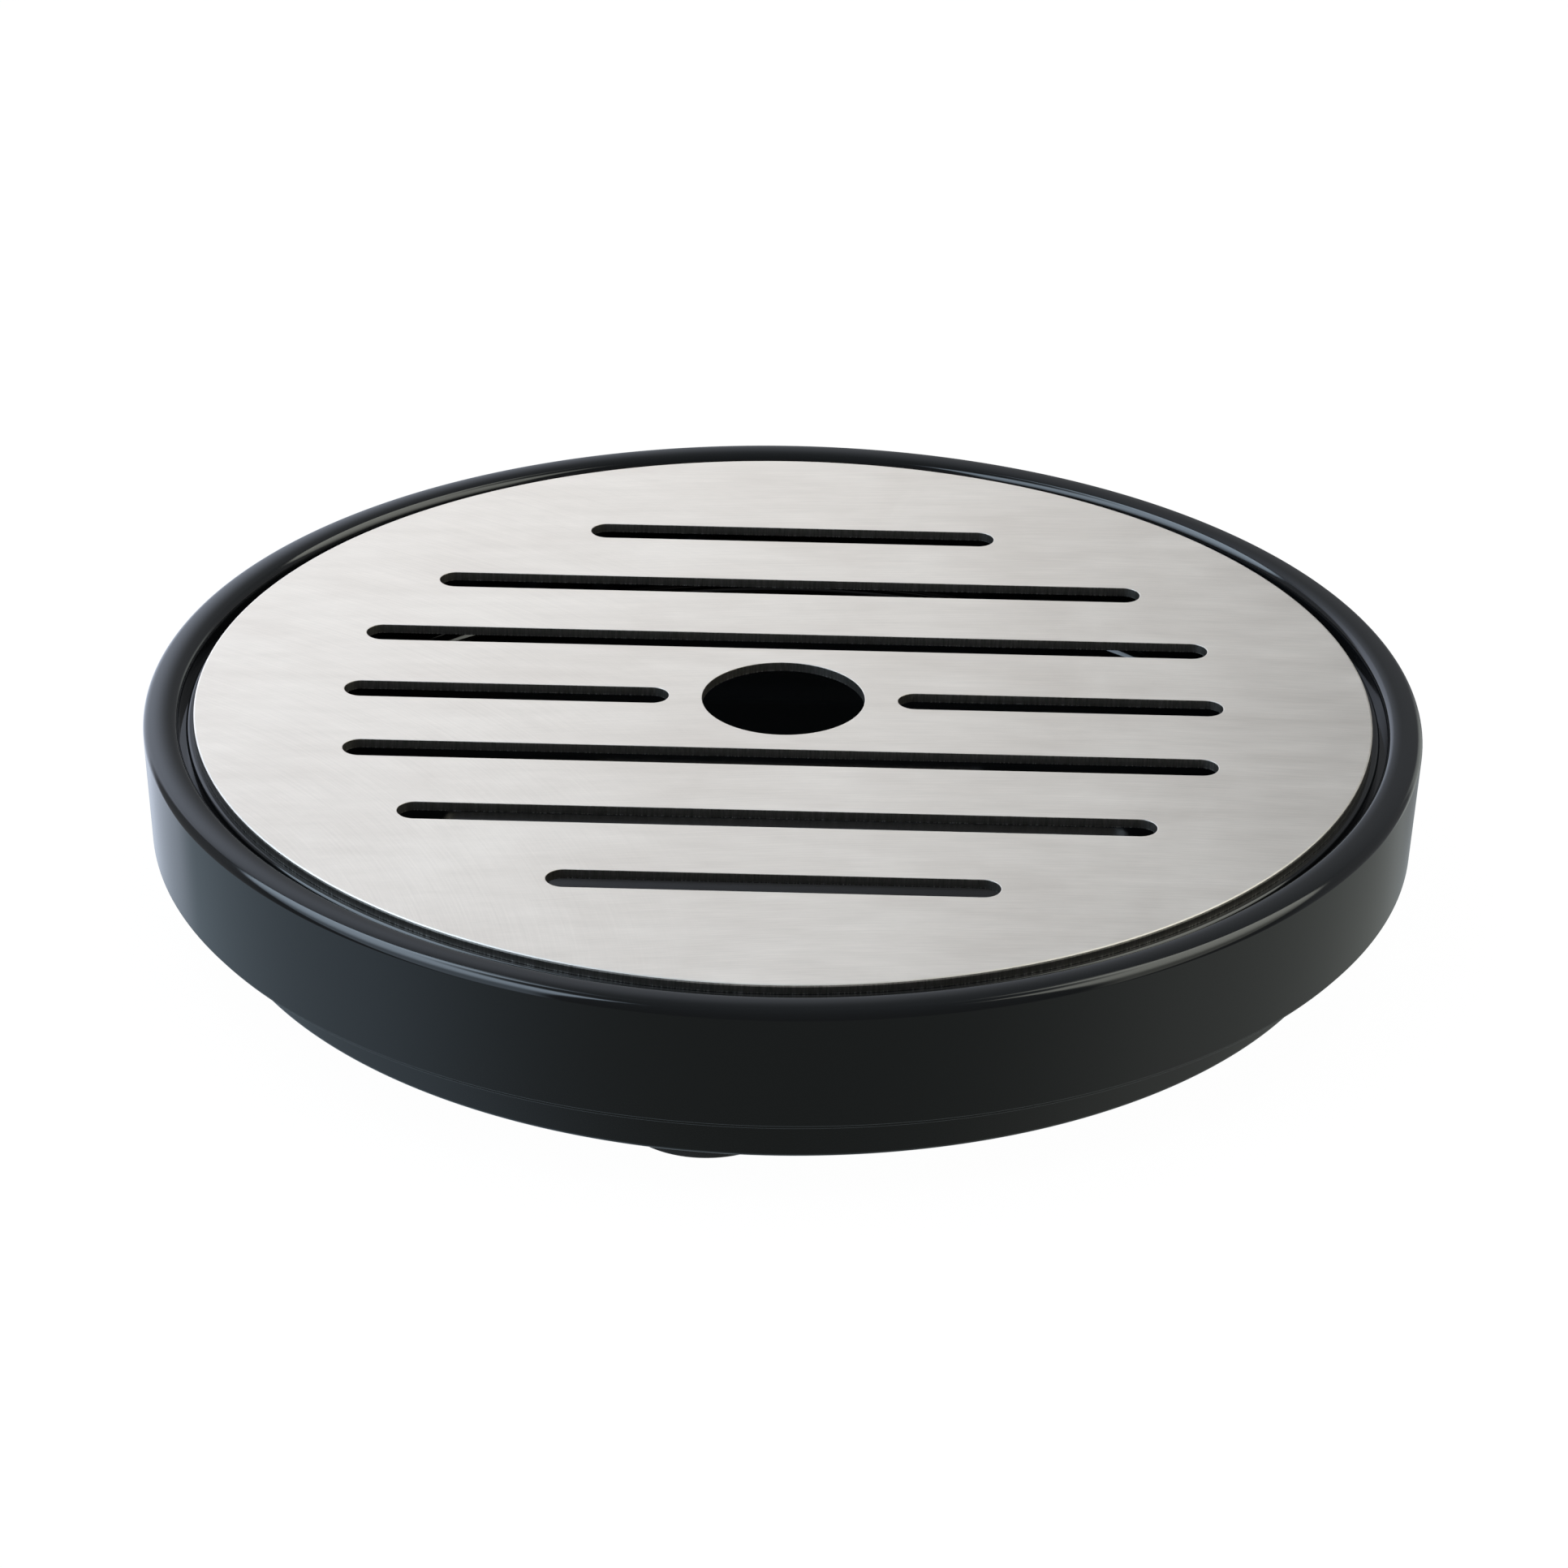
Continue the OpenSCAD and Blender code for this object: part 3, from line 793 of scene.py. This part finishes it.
def pale_floor():
    """A plain pale floor that mostly glows, so that it stays white around the tray. It is seen
    from above only, so that the underside can be looked at."""
    half_width = 4
    glow_share = 0.985
    bm = bmesh.new()
    bmesh.ops.create_grid(bm, x_segments=1, y_segments=1, size=half_width)
    mesh = bpy.data.meshes.new("floor")
    bm.to_mesh(mesh)
    bm.free()
    floor = link_object("floor", mesh)
    made = bpy.data.materials.new("pale_floor")
    made.use_nodes = True
    tree = made.node_tree
    tree.nodes.clear()
    matt = add(tree, "ShaderNodeBsdfDiffuse", {"Color": colour("#f4f4f4")})
    glow = add(tree, "ShaderNodeEmission", {"Color": colour("#ffffff"), "Strength": 1.0})
    pale = add(tree, "ShaderNodeMixShader", {
        0: glow_share, 1: matt.outputs["BSDF"], 2: glow.outputs["Emission"]})
    clear = add(tree, "ShaderNodeBsdfTransparent")
    back = add(tree, "ShaderNodeNewGeometry").outputs["Backfacing"]
    mixed = add(tree, "ShaderNodeMixShader", {
        0: back, 1: pale.outputs["Shader"], 2: clear.outputs["BSDF"]})
    add(tree, "ShaderNodeOutputMaterial", {"Surface": mixed.outputs["Shader"]})
    mesh.materials.append(made)
    floor.visible_glossy = False


def studio_world():
    """The room that the gloss mirrors: two tall soft boxes, a bluish bright one on the left and a
    weaker one on the right, a pale sweep behind on the left, and dark overhead and in front."""
    world = bpy.data.worlds.new("studio")
    bpy.context.scene.world = world
    world.use_nodes = True
    tree = world.node_tree
    tree.nodes.clear()
    way = add(tree, "ShaderNodeSeparateXYZ", {
        "Vector": add(tree, "ShaderNodeTexCoord").outputs["Generated"]}).outputs

    def calc(operation, *values):
        return add(tree, "ShaderNodeMath", dict(enumerate(values)),
                   operation=operation).outputs["Value"]

    def rise(value, low, high):
        return add(tree, "ShaderNodeMapRange", {
            "Value": value, "From Min": low, "From Max": high},
            interpolation_type="SMOOTHSTEP").outputs["Result"]

    def both(*shares):
        product = shares[0]
        for share in shares[1:]:
            product = calc("MULTIPLY", product, share)
        return product

    def outside(share):
        return calc("SUBTRACT", 1.0, share)

    def light(code, strength):
        return (*(part * strength for part in colour(code)[:3]), 1.0)

    def mix(factor, a, b):
        return add(tree, "ShaderNodeMix", {"Factor": factor, "A": a, "B": b},
                   data_type="RGBA", clamp_result=False).outputs[2]

    x, y, z = way["X"], way["Y"], way["Z"]
    back = rise(y, 0.0, 0.3)
    aside = calc("DIVIDE", x, calc("MAXIMUM", y, 0.02))
    low = outside(rise(z, 0.42, 0.80))
    room = mix(both(back, low), light("#f4faff", 0.12), light("#f4f8ff", 0.24))

    # the ground: dark in front, where the tray shades it, lighter at the back and the right, and
    # lightest at the left
    ground = mix(rise(x, -0.6, 0.6), light("#d6edff", 0.62), light("#f8fff9", 0.40))
    ground = mix(rise(y, -0.85, -0.1), light("#f4fff8", 0.17), ground)
    room = mix(outside(rise(z, -0.52, -0.42)), room, ground)

    # the pale sweep behind, which ends a little left of the middle, and a dim patch low down on
    # the right
    sweep = both(back, rise(aside, -1.15, -0.8), outside(rise(aside, -0.38, 0.06)), low,
                 rise(z, -0.55, -0.4))
    room = mix(sweep, room, light("#e2ecff", 1.45))
    patch = both(back, rise(aside, 0.36, 0.62), outside(rise(aside, 0.8, 1.0)),
                 rise(z, -0.5, -0.4), outside(rise(z, 0.15, 0.35)))
    room = mix(patch, room, light("#f8fffb", 0.8))

    # a soft box on each side, whose rear edge leans back over the tray
    boxes = (
        # side, lean, front edge, strength low down, strength high up, tint
        (-1.0, -0.18, -1.25, 1.3, 4.6, "#d8ecff"),
        (1.0, -0.12, -0.65, 0.75, 2.6, "#fcfff4"),
    )
    for side, lean, front_edge, dim, bright, tint in boxes:
        out = calc("MAXIMUM", calc("MULTIPLY", x, side), 0.02)
        along = calc("DIVIDE", y, out)
        up = calc("DIVIDE", z, out)
        rear = calc("SUBTRACT", along, calc("MULTIPLY_ADD", up, 0.92, lean))
        panel = both(rise(out, 0.13, 0.23),
                     rise(along, front_edge - 0.12, front_edge + 0.12),
                     outside(rise(rear, -0.05, 0.05)),
                     rise(z, -0.5, -0.3), outside(rise(z, 0.84, 0.93)))
        glow = mix(rise(z, 0.25, 0.75), light(tint, dim), light(tint, bright))
        room = mix(panel, room, glow)

    seen = add(tree, "ShaderNodeLightPath").outputs["Is Camera Ray"]
    shown = mix(seen, room, (1.0, 1.0, 1.0, 1.0))
    background = add(tree, "ShaderNodeBackground", {"Color": shown, "Strength": 1.0})
    add(tree, "ShaderNodeOutputWorld", {"Surface": background.outputs["Background"]})


def soft_light(name, place, size, power, only=None):
    """A large soft light aimed at the tray. One for all pieces isn't mirrored in the gloss, and
    one for a single piece lights only that piece, with its sheen."""
    data = bpy.data.lights.new(name, "AREA")
    data.shape = "SQUARE"
    data.size = size
    data.energy = power
    light = bpy.data.objects.new(name, data)
    bpy.context.scene.collection.objects.link(light)
    light.location = place
    light.rotation_mode = "QUATERNION"
    light.rotation_quaternion = (-Vector(place)).to_track_quat("-Z", "Y")
    if only is None:
        light.visible_glossy = False
    else:
        lit = bpy.data.collections.new("lit_by_" + name)
        lit.objects.link(only)
        light.light_linking.receiver_collection = lit


def studio_camera():
    """The camera: a long lens a little above the tray, rolled slightly about its own axis."""
    azimuth, elevation = math.radians(0.98), math.radians(26.2586)
    distance = 684.7 * MM
    roll = math.radians(0.97)
    back = Vector((
        math.sin(azimuth) * math.cos(elevation),
        -math.cos(azimuth) * math.cos(elevation),
        math.sin(elevation)))
    data = bpy.data.cameras.new("camera")
    data.lens = 127.4
    data.sensor_width = 36
    data.clip_start = 0.01
    data.clip_end = 50
    camera = bpy.data.objects.new("camera", data)
    bpy.context.scene.collection.objects.link(camera)
    camera.location = Vector((0, 0, PLATE_Z)) + back * distance
    aim = Vector((0.25 * MM, 0, 13.1 * MM))
    level = (aim - camera.location).to_track_quat("-Z", "Y")
    camera.rotation_mode = "QUATERNION"
    camera.rotation_quaternion = level @ Quaternion((0, 0, 1), roll)
    bpy.context.scene.camera = camera


pale_floor()
studio_world()
soft_light("top_light", place=(0.0, 0.3, 2.2), size=2.5, power=60)
soft_light("steel_light", place=(-0.19, 0.80, 0.26), size=0.6, power=1.15, only=plate)
soft_light("steel_front_light", place=(0.1, -0.80, 0.36), size=0.6, power=0.6, only=plate)
studio_camera()
bpy.context.scene.view_settings.view_transform = "Standard"
